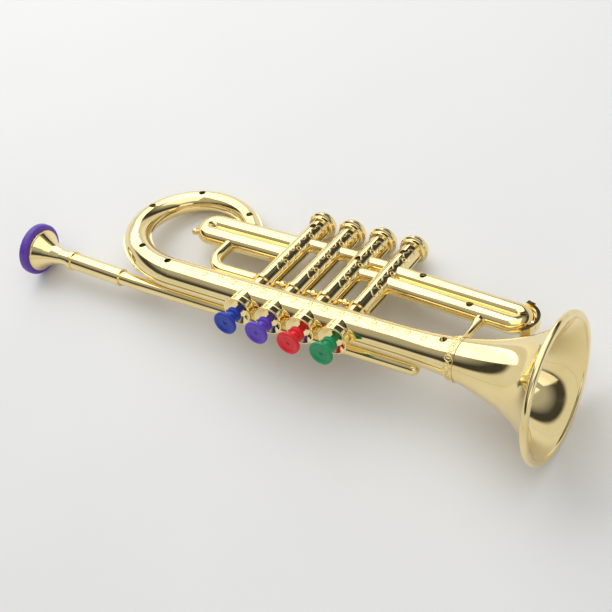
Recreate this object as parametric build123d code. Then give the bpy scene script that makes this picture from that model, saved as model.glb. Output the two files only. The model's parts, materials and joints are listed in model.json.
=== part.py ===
from build123d import *
import math
import os

os.makedirs("parts", exist_ok=True)

# Toy trumpet with four coloured keys, lying on its side. Lengths are in millimetres.
# The model is drawn in the trumpet's own axes: X runs along the bell tube from the mouthpiece
# to the bell, Y runs from the keys to the far ends of the valve casings, and the plane z = 0 is
# the parting plane of the half shells. At the end every piece is turned together, so that the
# bell rim, the mouthpiece ring and the first valve's bottom cap touch the floor, and the origin
# lies on the floor under the middle of the trumpet's box.

# Bell and bell tube
bell_length = 56.0
rim_radius = 42.5
rim_bead = 2.2
rim_flat_depth = 0.3
tube_radius = 9.5
shell_wall = 1.8
flare_neck_length = 52.0
front_tube_length = 72.7
spigot_length = 9.0
spigot_wall = 1.2
spigot_root = 3.0
ferrule_length = 6.0
ferrule_lift = 0.9

# Loop behind the valves, from the bell tube round to the left slide
loop_start = 117.9
loop_arc_radii = (62.0, 35.0, 45.0)
loop_end_radius = 5.4
loop_tail = 9.0

# Valve casings
valve_setback = 56.2
valve_pitch = 21.7
casing_radius = 6.6
casing_wall = 1.6
casing_near = -9.0
casing_far = 80.5
link_radius = 4.3
link_row = 59.5
double_link_rows = (57.7, 45.6)
brace_row = 18.0
brace_bar_radius = 1.4
brace_bead_radius = 2.6
collar_gap = 2.0
collar_length = 2.6
collar_lift = 0.9

# Left slide: two sleeves, their crook and the small third crook
left_outer_row = 56.0
left_pair_gap = 0.4
left_radius = 6.1
left_wall = 1.4
left_sleeve_length = 47.5
left_stub_length = 12.7
lug_radius = 2.4
third_tube_gap = 2.0
third_leg_inset = 17.3
third_radius = 4.0
third_bend = 13.0

# Right tuning slide, which leans a little towards the bell tube
slide_mid_row = 49.0
slide_pair_gap = 0.7
slide_radius = 5.4
slide_wall = 1.4
slide_overhang = 10.3
guard_gap = 1.2
guard_thickness = 2.0
guard_height = 5.0
guard_tab_length = 5.0
guard_tab_lift = 0.7
guard_post_radius = 2.4
brace_setback = 6.3
brace_radius = 3.4
brace_waist_radius = 2.2
brace_flange = 1.3

# Leadpipe and its receiver
lead_row = -1.0
lead_gap = 1.55
lead_radius = 4.45
lead_wall = 1.2
lead_overhang = 46.7
lead_bend_place = 86.0
receiver_start = 31.0
receiver_overlap = 15.4
receiver_wall = 1.15
receiver_bead = 0.8
receiver_bead_length = 2.6
port_radius = 2.6
port_bore = 1.4

# Mouthpiece
shank_radius = 4.0
shank_length = 22.0
shank_end_gap = 4.5
mouth_bore = 2.1
cup_shoulder_step = 1.6
cup_shoulder_length = 1.3
cup_root_radius = 12.7
cup_waist_radius = 8.9
cup_waist_place = 12.5
cup_neck_radius = 5.2
cup_neck_place = 23.0
cup_rim_width = 1.4
cup_depth = 12.0
cup_bowl_sag = 2.2
ring_width = 4.9
ring_inner = 12.0
ring_length = 5.4
ring_round = 1.9
ring_setback = 1.0

# Keys and what they push
key_face = -28.0
key_cap_radius = 7.4
key_cap_length = 2.5
key_round = 1.1
key_dish_depth = 0.9
key_dimple_radius = 1.1
key_dimple_depth = 0.7
key_waist_radius = 3.2
key_disc_radius = 4.6
key_disc_length = 2.6
key_travel = 3.8
key_stop_gap = 0.6
key_stem_radius = 2.2
key_peg_radius = 1.4
key_peg_length = 5.0
plunger_length = 11.0
plunger_groove_depth = 0.8
plunger_groove_width = 2.0
plunger_guide_radius = 2.4
plunger_guide_length = 5.0
pad_length = 1.6
pad_squeeze_gap = 0.3
spring_length = 17.0
spring_gap = 1.1
spring_wire = 0.6
reed_block_length = 12.0
reed_slot_width = 2.4
reed_slot_height = 5.0
reed_shelf_length = 3.0
reed_width = 2.0
reed_length = 9.5
reed_thickness = 0.3
reed_rivet_radius = 0.7
reed_rivet_height = 0.5

# Caps at both ends of each casing
top_cap_face_radius = 5.2
top_cap_radius = 9.2
top_cap_length = 3.4
top_cap_rim_length = 6.2
top_cap_lip = 0.8
top_cap_lip_length = 1.1
top_cap_step = 0.5
cap_boss_inset = 0.3
cap_spigot = 3.5
cap_flange_gap = 1.6
cap_flange_length = 1.8
cap_step_inset = 0.9
cap_step_length = 3.0
cap_knob_inset = 3.2
cap_knob_length = 1.4
cap_round = 0.4
cap_skirt_length = 3.0
cap_skirt_wall = 1.4

# Parting lip, screws and clearances
lip_width = 0.7
lip_depth = 1.2
boss_radius = 2.8
screw_head_radius = 1.6
screw_head_height = 1.1
screw_head_gap = 0.6
screw_shaft_radius = 0.8
screw_seat = 2.0
screw_depth = 3.8
screw_gap = 0.15
running_fit = 0.08
seat_gap = 0.05
overrun = 1.0

# Angles, counts and shares chosen by hand
loop_arc_turns = (45.0, 135.0, 45.0)
guard_arc = (-38.0, 76.0)
slide_lean = 3.2
lead_tilt = 2.2
key_colours = ("blue", "purple", "red", "green")
horn_points_count = 15
flare_slow_power, flare_steep_power = 3, 14
flare_steep_share = 0.19
loop_screw_shares = (0.024, 0.177, 0.465, 0.667, 0.93)
tube_screw_share = 0.945
slide_screw_shares = (0.25, 0.7)
casing_screw_shares = ((0, 0.89), (2, 0.68), (3, 0.86))
groove_share = 0.4
floor_steps = 50

# Places and sizes that follow from the ones above.
first_valve = loop_start + valve_setback
valve_places = [first_valve + valve_pitch * i for i in range(len(key_colours))]
last_valve = valve_places[-1]
bell_joint = last_valve + front_tube_length
flare_start = bell_joint - flare_neck_length
overall_length = bell_joint + bell_length
ferrule_start = bell_joint - ferrule_length
rim_circle = rim_radius - rim_bead
rim_place = overall_length - rim_bead + rim_flat_depth
casing_bore = casing_radius - casing_wall
plug_radius = casing_bore - seat_gap
skirt_radius = casing_radius + cap_skirt_wall
collar_start = tube_radius + lip_width + collar_gap
left_rows = (left_outer_row, left_outer_row - left_radius - left_radius - left_pair_gap)
left_sleeve_end = first_valve - left_stub_length
left_sleeve_start = left_sleeve_end - left_sleeve_length
third_row = tube_radius + third_radius + third_tube_gap
third_leg = left_sleeve_start + third_leg_inset
slide_half_gap = slide_radius + slide_pair_gap / 2
slide_straight = front_tube_length + slide_overhang
brace_place = bell_joint - brace_setback
lead_drop = tube_radius + lead_radius + lead_gap
lead_axis = (lead_row, -lead_drop)
lead_bend = Vector(lead_bend_place, *lead_axis)
lead_start = receiver_start + shank_length + shank_end_gap
lead_end = last_valve + lead_overhang
receiver_end = lead_start + receiver_overlap
receiver_radius = lead_radius + receiver_wall
ring_radius = ring_inner + ring_width
cup_shoulder_radius = ring_inner + cup_shoulder_step
cup_mouth_radius = ring_inner - cup_rim_width
spring_radius = casing_bore - spring_gap
plunger_start = casing_near + cap_spigot + seat_gap
spring_start = plunger_start + plunger_length + pad_length
reed_block_start = spring_start + spring_length
key_disc_far = casing_near - top_cap_length - key_travel - key_stop_gap
key_disc_near = key_disc_far - key_disc_length
top_cap_body_radius = top_cap_radius - top_cap_step
cap_boss_radius = top_cap_body_radius - cap_boss_inset
cap_flange_radius = valve_pitch / 2 - cap_flange_gap
cap_step_radius = cap_flange_radius - cap_step_inset
cap_knob_radius = cap_step_radius - cap_knob_inset
cap_flange_end = casing_far + cap_flange_length
screw_hole_radius = screw_head_radius + screw_head_gap


def rod_x(start, end, radius, y=0.0, z=0.0):
    """Round bar along X."""
    return Pos((start + end) / 2, y, z) * Rot(0, 90, 0) * Cylinder(radius, end - start)


def rod_y(start, end, radius, x=0.0, z=0.0):
    """Round bar along Y."""
    return Pos(x, (start + end) / 2, z) * Rot(90, 0, 0) * Cylinder(radius, end - start)


def rod_z(start, end, radius, x, y):
    """Round bar along Z."""
    return Pos(x, y, (start + end) / 2) * Cylinder(radius, end - start)


def corner_box(low, high):
    """Box between two opposite corners."""
    size = [b - a for a, b in zip(low, high)]
    middle = [(a + b) / 2 for a, b in zip(low, high)]
    return Pos(*middle) * Box(*size)


def turned_y(outline, x, rounding=0.0):
    """Solid turned about the casing line at x, from an outline of (y, radius) points."""
    face = make_face(Polyline(*[(radius, y) for y, radius in outline], close=True))
    if rounding:
        beyond = [v for v in face.vertices() if v.X > seat_gap and v.Y > casing_far - seat_gap]
        corners = [v for v in beyond if v.Y > casing_far + seat_gap or v.X > skirt_radius + seat_gap]
        face = fillet(corners, rounding)
    return Pos(x, 0, 0) * revolve(face, Axis.Y)


def lead_leaned(solid):
    """Leans a solid that lies before the leadpipe's bend up towards the parting plane."""
    bend = Pos(*lead_bend)
    return bend * Rot(0, lead_tilt, 0) * bend.inverse() * solid


def lead_turned(edges):
    """Solid turned about the mouthpiece's axis, from edges in (x, radius)."""
    return lead_leaned(Pos(0, *lead_axis) * revolve(Plane.XZ * make_face(edges), Axis.X))


def upper_half(solid):
    return split(solid, bisect_by=Plane.XY, keep=Keep.TOP)


def lower_half(solid):
    return split(solid, bisect_by=Plane.XY, keep=Keep.BOTTOM)


def lip_layer(solid):
    """The layer just under the parting plane, which the lower shells' lip fills."""
    low, high = solid.bounding_box().min, solid.bounding_box().max
    return solid & corner_box(
        (low.X - overrun, low.Y - overrun, -lip_depth), (high.X + overrun, high.Y + overrun, 0)
    )


def horn_radius(x):
    """Outer radius of the bell tube and flare at x."""
    if x <= flare_start:
        return tube_radius
    along = (x - flare_start) / (rim_place - flare_start)
    opening = (1 - flare_steep_share) * along**flare_slow_power
    opening += flare_steep_share * along**flare_steep_power
    return tube_radius + (rim_circle - tube_radius) * opening


def horn_solid(start, end, lift):
    """Solid horn between two places, its skin lifted square to its wall."""
    points = []
    for i in range(horn_points_count):
        x = start + (end - start) * math.sin(math.pi / 2 * i / (horn_points_count - 1))
        rise = horn_radius(x + seat_gap) - horn_radius(x - seat_gap)
        tilt = math.atan2(rise, seat_gap + seat_gap)
        points.append((x - lift * math.sin(tilt), horn_radius(x) + lift * math.cos(tilt)))
    first, last = points[0], points[-1]
    edges = Spline(*points) + Polyline(last, (last[0], 0), (first[0], 0), first)
    return revolve(Plane.XZ * make_face(edges), Axis.X)


def loop_path():
    """The loop's centre line: three arcs that turn the same way, and a short straight tail."""
    edges = []
    place, heading = Vector(loop_start, 0, 0), 180.0
    for bend, turn in zip(loop_arc_radii, loop_arc_turns):
        centre = place + Vector(0, -bend, 0).rotate(Axis.Z, heading)
        middle, end = [
            centre + Vector(0, bend, 0).rotate(Axis.Z, heading - part) for part in (turn / 2, turn)
        ]
        edges.append(Edge.make_three_point_arc(place, middle, end))
        place, heading = end, heading - turn
    tail = Vector(loop_tail, 0, 0).rotate(Axis.Z, heading)
    edges.append(Edge.make_line(place, place + tail))
    return Wire(edges)


def loop_solid(lift):
    """The loop as one solid that tapers towards the left slide, its skin lifted."""
    path = loop_path()
    start = Plane(path @ 0, z_dir=path % 0) * Circle(tube_radius + lift)
    end = Plane(path @ 1, z_dir=path % 1) * Circle(loop_end_radius + lift)
    return sweep([start, end], path=path, multisection=True)


def slide_place(along, across):
    """A place on the right slide, from its own axes to the trumpet's."""
    lean = math.radians(slide_lean)
    x = last_valve + along * math.cos(lean) + across * math.sin(lean)
    y = slide_mid_row - along * math.sin(lean) + across * math.cos(lean)
    return x, y


tube_screws = [tuple(loop_path() @ share)[:2] for share in loop_screw_shares]
tube_screws.append((loop_start + (bell_joint - loop_start) * tube_screw_share, 0.0))
slide_screws = [
    slide_place(slide_straight * slide_screw_shares[0], slide_half_gap),
    slide_place(slide_straight * slide_screw_shares[1], -slide_half_gap),
    slide_place(slide_straight + slide_half_gap, 0.0),
]
casing_screws = [
    (valve_places[valve], casing_near + (casing_far - casing_near) * share)
    for valve, share in casing_screw_shares
]


def screwed(shell, skin, places, upper):
    """Adds a screw boss at each place, with the head's well above and the thread's hole below."""
    for x, y in places:
        boss = rod_z(-tube_radius, tube_radius, boss_radius, x, y) & skin
        if upper:
            shell = shell + upper_half(boss)
            shell = shell - rod_z(screw_seat, rim_radius, screw_hole_radius, x, y)
        else:
            shell = shell + lower_half(boss)
        hole_radius = screw_shaft_radius + screw_gap
        shell = shell - rod_z(-screw_depth, screw_seat, hole_radius, x, y)
    return shell


def screws():
    """All the screws, which are alike."""
    made = []
    for x, y in tube_screws + slide_screws + casing_screws:
        head = rod_z(screw_seat, screw_seat + screw_head_height, screw_head_radius, x, y)
        made.append(head + rod_z(-screw_depth, screw_seat, screw_shaft_radius, x, y))
    return Compound(children=[Solid(screw.solid().wrapped) for screw in made])


def casing_crossings():
    """Room for the four casings where they cross the bell tube."""
    reach = tube_radius + lip_width + overrun
    return [rod_y(-reach, reach, casing_radius + seat_gap, x) for x in valve_places]


def port_bores():
    """Air ways from the leadpipe up into the casings."""
    return [rod_z(-lead_drop, -casing_bore, port_bore, x, lead_row) for x in valve_places]


def tube_skin(lift):
    """Bell tube and loop as one solid, its skin lifted."""
    straight = rod_x(loop_start, flare_start, tube_radius + lift)
    return straight + horn_solid(flare_start, bell_joint, lift) + loop_solid(lift)


def tube_shells():
    """Upper and lower half shells of the bell tube and loop, with a boss under each top cap."""
    bosses = [rod_y(casing_near + seat_gap, 0, cap_boss_radius, x) for x in valve_places]
    skin = tube_skin(0.0) + bosses
    inside = tube_skin(-shell_wall)
    spigot_room = rod_x(
        bell_joint - spigot_length, bell_joint + overrun, horn_radius(bell_joint) - shell_wall
    )
    sleeve = rod_x(left_sleeve_start, left_sleeve_end, left_radius + seat_gap, left_rows[0])
    cap_seats = [
        rod_y(-rim_radius, casing_near + seat_gap, top_cap_radius + seat_gap, x)
        for x in valve_places
    ]
    taken = [spigot_room, sleeve] + casing_crossings() + cap_seats
    upper = screwed(upper_half(skin) - inside, skin, tube_screws, True) - taken
    lip = lip_layer(tube_skin(lip_width)) - inside
    lip = lip - rod_x(ferrule_start, bell_joint + overrun, rim_radius)
    lower = screwed(lower_half(skin) - inside + lip, skin, tube_screws, False)
    return upper, lower - taken - port_bores()


def valve_skin(lift):
    """Casings, the tubes that link them and the stubs for the slides."""
    bars = [rod_y(casing_near, casing_far, casing_radius + lift, x) for x in valve_places]
    for x in valve_places[:-2]:
        bars.append(rod_x(x, x + valve_pitch, link_radius + lift, link_row))
    for row in double_link_rows:
        bars.append(rod_x(last_valve - valve_pitch, last_valve, link_radius + lift, row))
    for row in left_rows:
        bars.append(rod_x(left_sleeve_end, first_valve, left_radius + lift, row))
    bars.append(rod_x(left_sleeve_end, first_valve, third_radius + lift, third_row))
    return Part() + bars


def casing_braces():
    """Collars round the casings close to the bell tube, and the beaded bars between them."""
    collar_end = collar_start + collar_length
    bars = [rod_y(collar_start, collar_end, casing_radius + collar_lift, x) for x in valve_places]
    for x in valve_places[:-1]:
        bars.append(rod_x(x, x + valve_pitch, brace_bar_radius, brace_row))
        bars.append(Pos(x + valve_pitch / 2, brace_row, 0) * Sphere(brace_bead_radius))
    return bars


def valve_shells():
    """Upper and lower half shells of the valve block."""
    skin = valve_skin(0.0) + casing_braces()
    inside = valve_skin(-casing_wall)
    upper = screwed(upper_half(skin) - inside, skin, casing_screws, True)
    lip_room = corner_box(
        (left_sleeve_end, tube_radius + lip_width + seat_gap, -lip_depth),
        (last_valve + cap_flange_radius, casing_far - cap_skirt_length - seat_gap, 0),
    )
    lip = (valve_skin(lip_width) & lip_room) - inside
    lower = screwed(lower_half(skin) - inside + lip, skin, casing_screws, False)
    return upper, lower - port_bores()


def half_ring(bend, radius):
    """Round bar bent into a half circle that opens towards +X."""
    face = Plane.XZ * Pos(bend, 0) * Circle(radius)
    return Rot(0, 0, 90) * revolve(face, Axis.Z, 180)


def left_slide():
    """Two sleeves side by side, and the U crook that meets their ends."""
    bore = left_radius - left_wall
    outer, inner = [
        rod_x(left_sleeve_start, left_sleeve_end, left_radius, row)
        - rod_x(left_sleeve_start - overrun, left_sleeve_end + overrun, bore, row)
        for row in left_rows
    ]
    mouth = rod_y(left_rows[1] - left_radius, left_rows[1], third_radius - left_wall, third_leg)
    half = (left_rows[0] - left_rows[1]) / 2
    lug = Pos(-half - left_radius, -half, 0) * Sphere(lug_radius)
    crook = half_ring(half, left_radius) + lug - half_ring(half, bore)
    return outer, inner - mouth, Pos(left_sleeve_start, left_rows[1] + half, 0) * crook


def third_route(radius, grow):
    """The third crook's route: out of the casing, round one bend and up to the sleeve."""
    corner_x, corner_y = third_leg + third_bend, third_row + third_bend
    face = Plane.XZ * Pos(third_bend, 0) * Circle(radius)
    elbow = Pos(corner_x, corner_y, 0) * Rot(0, 0, 180) * revolve(face, Axis.Z, 90)
    level = rod_x(corner_x, left_sleeve_end + grow, radius, third_row)
    return level + elbow + rod_y(corner_y, left_rows[1], radius, third_leg)


def third_crook():
    """The small crook between the first casing and the lower left sleeve."""
    crook = third_route(third_radius, 0.0) - third_route(third_radius - left_wall, overrun)
    return crook - rod_x(left_sleeve_start, left_sleeve_end, left_radius + seat_gap, left_rows[1])


def slide_skin(lift):
    """The right slide's two tubes and its U."""
    bars = [
        rod_x(0, slide_straight, slide_radius + lift, side * slide_half_gap) for side in (-1, 1)
    ]
    turn = Pos(slide_straight, 0, 0) * Rot(0, 0, 180)
    bars.append(turn * half_ring(slide_half_gap, slide_radius + lift))
    return Pos(last_valve, slide_mid_row, 0) * Rot(0, 0, -slide_lean) * (Part() + bars)


def slide_lip(lift):
    """The flat layer under the parting plane in the right slide's outline."""
    half = slide_half_gap + slide_radius + lift
    outline = Pos(slide_straight / 2, 0) * Rectangle(slide_straight, half + half)
    outline += Pos(slide_straight, 0) * Circle(half)
    plate = extrude(outline, -lip_depth)
    return Pos(last_valve, slide_mid_row, 0) * Rot(0, 0, -slide_lean) * plate


def right_slide():
    """Upper and lower half shells of the right slide."""
    skin = slide_skin(0.0)
    inside = slide_skin(-slide_wall)
    casing = rod_y(casing_near, casing_far, casing_radius + seat_gap, last_valve)
    lipped_casing = rod_y(
        casing_near, casing_far, casing_radius + lip_width + seat_gap, last_valve
    )
    upper = screwed(upper_half(skin) - inside, skin, slide_screws, True)
    lip = slide_lip(lip_width) - inside - lipped_casing
    lower = screwed(lower_half(skin) - inside + lip, skin, slide_screws, False)
    below = corner_box(
        (last_valve, 0, -lip_depth), (last_valve + cap_flange_radius, casing_far, 0)
    )
    return upper - casing, lower - casing - (lipped_casing & below)


def slide_guard():
    """Curved guard round the outside of the right slide's U, on a post in its middle."""
    inner = slide_half_gap + slide_radius + guard_gap
    outer = inner + guard_thickness
    first, last = guard_arc
    section = Plane.XZ * Pos((inner + outer) / 2, 0) * Rectangle(guard_thickness, guard_height)
    band = Rot(0, 0, first) * revolve(section, Axis.Z, last - first)
    tab = Box(guard_thickness + guard_tab_lift, guard_tab_length, guard_height + guard_tab_lift)
    for turn in guard_arc:
        band += Rot(0, 0, turn) * Pos((inner + outer + guard_tab_lift) / 2, 0, 0) * tab
    band += rod_x(inner - guard_gap - slide_wall, outer, guard_post_radius)
    turned = Pos(slide_straight, 0, 0) * band
    guard = Pos(last_valve, slide_mid_row, 0) * Rot(0, 0, -slide_lean) * turned
    return guard - slide_skin(seat_gap) - slide_lip(lip_width + seat_gap)


def ferrule():
    """Collar over the shells' end, which holds the bell's spigot in them."""
    outside = horn_solid(flare_start, bell_joint, ferrule_lift)
    inside = horn_solid(flare_start, bell_joint, seat_gap)
    return outside - inside - rod_x(flare_start - overrun, ferrule_start, rim_radius)


def slide_brace():
    """Waisted round post between the right slide and the bell tube, half on the ferrule."""
    head = slide_place(brace_place - last_valve, -slide_half_gap)[1]
    low = horn_radius(brace_place) + ferrule_lift + brace_flange
    high = head - slide_radius - brace_flange
    edges = Polyline(
        (brace_radius, low), (brace_radius, 0), (0, 0), (0, head), (brace_radius, head),
        (brace_radius, high),
    )
    edges += ThreePointArc(
        (brace_radius, high), (brace_waist_radius, (low + high) / 2), (brace_radius, low)
    )
    post = Pos(brace_place, 0, 0) * revolve(make_face(edges), Axis.Y)
    tube_lip = lip_layer(horn_solid(flare_start, bell_joint, lip_width + seat_gap))
    tube = horn_solid(flare_start, bell_joint, seat_gap) + tube_lip
    collar = horn_solid(flare_start, bell_joint, ferrule_lift + seat_gap)
    collar = collar - rod_x(flare_start - overrun, ferrule_start - seat_gap, rim_radius)
    return post - slide_skin(seat_gap) - slide_lip(lip_width + seat_gap) - tube - collar


def bell():
    """One-piece bell: spigot, flare and beaded rim."""
    joint_radius = horn_radius(bell_joint)
    spigot_radius = joint_radius - shell_wall - seat_gap
    spigot_bore = spigot_radius - spigot_wall
    flare = horn_solid(bell_joint, rim_place, 0.0)
    flare = flare - horn_solid(bell_joint - overrun, rim_place + overrun, -shell_wall)
    root = rod_x(bell_joint, bell_joint + spigot_root, joint_radius - shell_wall / 2)
    spigot = rod_x(bell_joint - spigot_length, bell_joint + spigot_root, spigot_radius) + root
    spigot = spigot - rod_x(
        bell_joint - spigot_length - overrun, bell_joint + spigot_root + overrun, spigot_bore
    )
    bead = Pos(rim_place, 0, 0) * Rot(0, 90, 0) * Torus(rim_circle, rim_bead)
    front = rod_x(overall_length, overall_length + rim_bead, rim_radius + overrun)
    return flare + spigot + bead - front


def lead_run(start, end, radius):
    """Round bar on the leadpipe's axis, mitred at its bend."""
    mitre = Plane(origin=lead_bend, z_dir=Vector(1, 0, 0).rotate(Axis.Y, lead_tilt / 2))
    near = lead_leaned(rod_x(start, lead_bend_place + overrun, radius, *lead_axis))
    far = rod_x(lead_bend_place - overrun, end, radius, *lead_axis)
    return split(near, bisect_by=mitre, keep=Keep.BOTTOM) + split(far, bisect_by=mitre, keep=Keep.TOP)


def leadpipe():
    """Leadpipe with its slight bend, its round end and its four air ports."""
    ball = lead_end - lead_radius
    pipe = lead_run(lead_start, ball, lead_radius)
    pipe = pipe + Pos(ball, *lead_axis) * Sphere(lead_radius)
    pipe = pipe + [rod_z(-lead_drop, 0, port_radius, x, lead_row) for x in valve_places]
    pipe = pipe - lead_run(lead_start - overrun, ball, lead_radius - lead_wall)
    return pipe - port_bores() - rod_x(loop_start, bell_joint, tube_radius + seat_gap)


def receiver():
    """Sleeve that joins the leadpipe and takes the mouthpiece's shank."""
    bead_end = receiver_start + receiver_bead_length
    sleeve = rod_x(receiver_start, receiver_end, receiver_radius, *lead_axis)
    sleeve = sleeve + rod_x(receiver_start, bead_end, receiver_radius + receiver_bead, *lead_axis)
    shank_room = rod_x(receiver_start - overrun, lead_start, shank_radius + running_fit, *lead_axis)
    pipe_room = rod_x(lead_start, receiver_end + overrun, lead_radius + seat_gap, *lead_axis)
    return lead_leaned(sleeve - shank_room - pipe_room)


def mouthpiece_cup():
    """Cup, neck and shank of the mouthpiece."""
    shoulder_end = ring_length + cup_shoulder_length
    waist = (cup_waist_place, cup_waist_radius)
    neck = (cup_neck_place, cup_neck_radius)
    rim = ring_inner - seat_gap
    shank_end = receiver_start + shank_length
    throat = ring_setback + cup_depth
    edges = Polyline(
        (throat, mouth_bore), (shank_end, mouth_bore), (shank_end, shank_radius),
        (receiver_start, shank_radius), (receiver_start, cup_neck_radius), neck,
    )
    edges += Spline(neck, waist, (shoulder_end, cup_root_radius))
    edges += Polyline(
        (shoulder_end, cup_root_radius), (shoulder_end, cup_shoulder_radius),
        (ring_length, cup_shoulder_radius),
        (ring_length, rim), (ring_setback, rim), (ring_setback, cup_mouth_radius),
    )
    slope = math.atan2(cup_mouth_radius - mouth_bore, cup_depth)
    bowl = (
        (ring_setback + throat) / 2 + cup_bowl_sag * math.sin(slope),
        (cup_mouth_radius + mouth_bore) / 2 + cup_bowl_sag * math.cos(slope),
    )
    edges += ThreePointArc((ring_setback, cup_mouth_radius), bowl, (throat, mouth_bore))
    return lead_turned(edges)


def mouthpiece_ring():
    """Soft ring that the lips rest on."""
    face = Pos(ring_length / 2, (ring_radius + ring_inner) / 2) * Rectangle(
        ring_length, ring_radius - ring_inner
    )
    face = fillet(face.vertices(), ring_round)
    return lead_leaned(Pos(0, *lead_axis) * revolve(Plane.XZ * face, Axis.X))


def key(x):
    """Mushroom key with a dished face, a waist, a stop disc and its stem."""
    cap_back = key_face + key_cap_length
    dish = key_face + key_dish_depth
    rim = key_cap_radius - key_round
    flare = key_waist_radius + key_round
    edges = Polyline(
        (0, dish + key_dimple_depth), (key_dimple_radius, dish + key_dimple_depth),
        (key_dimple_radius, dish),
    )
    middle = (key_dimple_radius + rim) / 2
    level = key_face + key_dish_depth * (1 - (middle / rim) ** 2)
    edges += ThreePointArc((key_dimple_radius, dish), (middle, level), (rim, key_face))
    edges += ThreePointArc(
        (rim, key_face),
        (rim + key_round * math.sin(math.pi / 4),
         key_face + key_round * (1 - math.cos(math.pi / 4))),
        (key_cap_radius, key_face + key_round),
    )
    edges += Polyline((key_cap_radius, key_face + key_round), (key_cap_radius, cap_back))
    edges += Polyline((key_cap_radius, cap_back), (flare, cap_back))
    edges += ThreePointArc(
        (flare, cap_back),
        (flare - key_round * math.sin(math.pi / 4),
         cap_back + key_round * (1 - math.cos(math.pi / 4))),
        (key_waist_radius, cap_back + key_round),
    )
    edges += Polyline(
        (key_waist_radius, cap_back + key_round), (key_waist_radius, key_disc_near),
        (key_disc_radius, key_disc_near), (key_disc_radius, key_disc_far),
        (key_stem_radius, key_disc_far), (key_stem_radius, plunger_start),
        (key_peg_radius, plunger_start), (key_peg_radius, plunger_start + key_peg_length),
        (0, plunger_start + key_peg_length), (0, dish + key_dimple_depth),
    )
    return Pos(x, 0, 0) * revolve(make_face(edges), Axis.Y)


def plunger(x):
    """Plunger on the key's peg, with a sealing groove and a guide for the spring."""
    radius = casing_bore - running_fit
    end = plunger_start + plunger_length
    groove_start = plunger_start + plunger_length * groove_share
    groove_end = groove_start + plunger_groove_width
    peg_room = plunger_start + key_peg_length
    return turned_y([
        (peg_room, 0), (peg_room, key_peg_radius + seat_gap),
        (plunger_start, key_peg_radius + seat_gap), (plunger_start, radius),
        (groove_start, radius), (groove_start, radius - plunger_groove_depth),
        (groove_end, radius - plunger_groove_depth), (groove_end, radius),
        (end, radius), (end, plunger_guide_radius),
        (end + plunger_guide_length, plunger_guide_radius), (end + plunger_guide_length, 0),
    ], x)


def tube_ring(start, length, inner, outer, x):
    """Plain ring or sleeve on the casing's axis."""
    end = start + length
    return turned_y([(start, inner), (start, outer), (end, outer), (end, inner)], x)


def reed_block(x):
    """Plug with an air slot, a shelf for the reed and a seat for the spring."""
    end = reed_block_start + reed_block_length
    block = rod_y(reed_block_start, end, plug_radius, x)
    half_width, half_height = reed_slot_width / 2, reed_slot_height / 2
    shelf_start = end - reed_shelf_length
    long_slot = corner_box(
        (x - half_width, reed_block_start, -half_height), (x + half_width, shelf_start, half_height)
    )
    short_slot = corner_box(
        (x - half_width, shelf_start, -reed_thickness / 2), (x + half_width, end, half_height)
    )
    return block - long_slot - short_slot


def reed(x):
    """Brass tongue with its rivet, lying on the shelf."""
    end = reed_block_start + reed_block_length
    tongue = corner_box(
        (x - reed_width / 2, end - reed_length, -reed_thickness / 2),
        (x + reed_width / 2, end, reed_thickness / 2),
    )
    rivet_place = end - reed_shelf_length / 2
    return tongue + rod_z(0, reed_rivet_height, reed_rivet_radius, x, rivet_place)


def top_cap(x):
    """Dished cap with a lipped rim, which the key's stem passes through."""
    face = casing_near - top_cap_length
    rim_face = casing_near - top_cap_rim_length
    lip_end = rim_face + top_cap_lip_length
    bore = key_stem_radius + running_fit
    inner_end = casing_near + cap_spigot
    return turned_y([
        (face, bore), (face, top_cap_face_radius), (rim_face, top_cap_radius - top_cap_lip),
        (rim_face, top_cap_radius), (lip_end, top_cap_radius), (lip_end, top_cap_body_radius),
        (casing_near, top_cap_body_radius), (casing_near, plug_radius),
        (inner_end, plug_radius), (inner_end, bore),
    ], x)


def bottom_cap(x):
    """Flanged cap with a skirt, a step and a knob at the casing's far end."""
    skirt_start = casing_far - cap_skirt_length
    step_end = cap_flange_end + cap_step_length
    knob_end = step_end + cap_knob_length
    return turned_y([
        (casing_far - cap_spigot, 0), (casing_far - cap_spigot, plug_radius),
        (casing_far, plug_radius), (casing_far, casing_radius + seat_gap),
        (skirt_start, casing_radius + seat_gap), (skirt_start, skirt_radius),
        (casing_far, skirt_radius), (casing_far, cap_flange_radius),
        (cap_flange_end, cap_flange_radius), (cap_flange_end, cap_step_radius),
        (step_end, cap_step_radius), (step_end, cap_knob_radius),
        (knob_end, cap_knob_radius), (knob_end, 0),
    ], x, cap_round)


def lowest_point(centre, along, circle, half_width, rounding, up):
    """The lowest point of a round band, for a given up direction."""
    side = math.copysign(half_width, up.dot(along))
    across = (up - along * up.dot(along)).normalized()
    return centre - along * side - across * circle - up * rounding


def floor_plane():
    """Plane through the three places where the trumpet touches the floor."""
    x_axis, y_axis, up = Vector(1, 0, 0), Vector(0, 1, 0), Vector(0, 0, 1)
    ring_axis = x_axis.rotate(Axis.Y, lead_tilt)
    ring_centre = lead_bend - ring_axis * (lead_bend_place - ring_length / 2)
    cap_centre = Vector(first_valve, cap_flange_end - cap_flange_length / 2, 0)
    bands = [
        (Vector(rim_place, 0, 0), x_axis, rim_circle, 0, rim_bead),
        (ring_centre, ring_axis, ring_radius - ring_round,
         ring_length / 2 - ring_round, ring_round),
        (cap_centre, y_axis, cap_flange_radius - cap_round,
         cap_flange_length / 2 - cap_round, cap_round),
    ]
    for _ in range(floor_steps):
        rim, ring, cap = [lowest_point(*band, up) for band in bands]
        up = (rim - ring).cross(cap - ring).normalized()
    forward = (x_axis - up * up.dot(x_axis)).normalized()
    return Plane(origin=rim, x_dir=forward, z_dir=up)


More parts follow.
